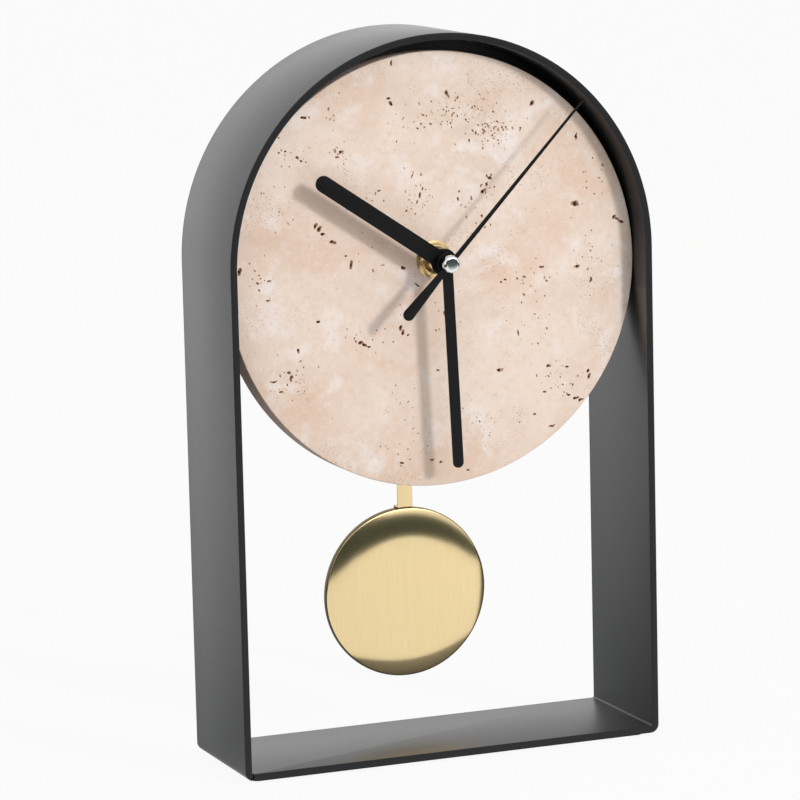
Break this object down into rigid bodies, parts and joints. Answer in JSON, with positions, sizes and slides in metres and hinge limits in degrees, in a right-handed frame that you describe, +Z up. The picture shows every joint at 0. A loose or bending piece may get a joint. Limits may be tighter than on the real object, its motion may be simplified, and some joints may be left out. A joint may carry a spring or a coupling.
{
  "type": "desk pendulum clock",
  "caption": "Free-standing clock: an arched steel band with an open window, a round stone dial with slim hands and a round pendulum bob that swings on a flat rod.",
  "frame": {"origin": "on the table, in the middle of the footprint and of the depth from the cap on the hands to the rear of the frame", "axes": "+X to the right seen from the front, +Y to the rear, +Z up"},
  "size_m": [0.18, 0.0654, 0.2924],
  "materials": {
    "frame_coat": "fine matte powder coat",
    "foot_rubber": "matte",
    "travertine": "honed, with open pits",
    "film": "double-sided adhesive film",
    "brushed_brass": "brushed",
    "turned_brass": "turned",
    "hand_coat": "matte black",
    "polished_chrome": "polished",
    "case_plastic": "moulded, fine texture",
    "wheel_plastic": "moulded",
    "steel": "bright",
    "cell_sleeve": "plain sleeve",
    "copper_wire": "enamelled wire",
    "board": "bare board",
    "epoxy": "glossy"
  },
  "bodies": {
    "clock": {"frame_band": "frame_coat", "rubber_feet": "foot_rubber", "stone_dial": "travertine", "adhesive_film": "film", "back_plate": "frame_coat", "plate_welds": "frame_coat", "case_gasket": "foot_rubber", "threaded_bushing": "turned_brass", "clamp_washer": "turned_brass", "hex_nut": "turned_brass", "movement_body": "case_plastic", "middle_plate": "case_plastic", "train_cover": "case_plastic", "coil_cover": "case_plastic", "battery_cell": "cell_sleeve", "plate_contact": "steel", "spring_contact": "steel", "circuit_board": "board", "clock_chip": "epoxy", "quartz_crystal": "steel", "coil_core": "steel", "stepper_coil": "copper_wire", "stator": "steel", "drive_coil": "copper_wire", "pivot_pin": "steel"},
    "second_train": {"seconds_wheel": "wheel_plastic", "seconds_arbor": "steel", "second_hand": "hand_coat", "hand_cap": "polished_chrome"},
    "intermediate": {"intermediate_wheel": "wheel_plastic"},
    "rotor": {"rotor_pinion": "wheel_plastic", "rotor_magnet": "steel"},
    "third": {"third_wheel": "wheel_plastic"},
    "centre": {"centre_wheel": "turned_brass"},
    "minute_train": {"minute_tube": "turned_brass", "clutch_spring": "steel", "minute_hand": "hand_coat"},
    "minute_work": {"minute_wheel": "wheel_plastic"},
    "hour_train": {"hour_wheel": "wheel_plastic", "hour_hand": "hand_coat"},
    "setting": {"setting_pinion": "wheel_plastic", "setting_knob": "case_plastic"},
    "pendulum": {"pendulum_lever": "case_plastic", "pendulum_magnet": "steel", "pendulum_rod": "brushed_brass", "bob_shell": "brushed_brass", "bob_back": "brushed_brass", "bob_stud": "turned_brass", "rating_nut": "turned_brass"}
  },
  "joints": [
    {"name": "second_hand_spin", "type": "hinge", "parent": "clock", "child": "second_train", "pos_m": [0, 0.015, 0.2018], "axis": [0, 1, 0], "continuous": true},
    {"name": "intermediate_spin", "type": "hinge", "parent": "clock", "child": "intermediate", "pos_m": [-0.0052, 0.015, 0.2048], "axis": [0, 1, 0], "continuous": true},
    {"name": "rotor_spin", "type": "hinge", "parent": "clock", "child": "rotor", "pos_m": [-0.01005, 0.015, 0.2076], "axis": [0, 1, 0], "continuous": true},
    {"name": "third_wheel_spin", "type": "hinge", "parent": "clock", "child": "third", "pos_m": [0.00396, 0.015, 0.20866], "axis": [0, 1, 0], "continuous": true},
    {"name": "centre_wheel_spin", "type": "hinge", "parent": "clock", "child": "centre", "pos_m": [0, 0.015, 0.2018], "axis": [0, 1, 0], "continuous": true},
    {"name": "minute_hand_spin", "type": "hinge", "parent": "clock", "child": "minute_train", "pos_m": [0, 0.015, 0.2018], "axis": [0, 1, 0], "continuous": true},
    {"name": "minute_wheel_spin", "type": "hinge", "parent": "clock", "child": "minute_work", "pos_m": [0.00864, 0.015, 0.2018], "axis": [0, 1, 0], "continuous": true},
    {"name": "hour_hand_spin", "type": "hinge", "parent": "clock", "child": "hour_train", "pos_m": [0, 0.015, 0.2018], "axis": [0, 1, 0], "continuous": true},
    {"name": "setting_knob_spin", "type": "hinge", "parent": "clock", "child": "setting", "pos_m": [0.01572, 0.015, 0.20676], "axis": [0, 1, 0], "continuous": true},
    {"name": "pendulum_swing", "type": "hinge", "parent": "clock", "child": "pendulum", "pos_m": [0, 0.021, 0.1678], "axis": [0, 1, 0], "range_deg": [-12, 12]}
  ],
  "couplings": [
    {"joint": "intermediate_spin", "follows": "second_hand_spin", "ratio": -5},
    {"joint": "rotor_spin", "follows": "second_hand_spin", "ratio": 30},
    {"joint": "third_wheel_spin", "follows": "second_hand_spin", "ratio": -0.125},
    {"joint": "centre_wheel_spin", "follows": "second_hand_spin", "ratio": 0.016667},
    {"joint": "minute_hand_spin", "follows": "second_hand_spin", "ratio": 0.016667},
    {"joint": "minute_wheel_spin", "follows": "second_hand_spin", "ratio": -0.0055556},
    {"joint": "hour_hand_spin", "follows": "second_hand_spin", "ratio": 0.0013889},
    {"joint": "setting_knob_spin", "follows": "second_hand_spin", "ratio": 0.016667}
  ]
}
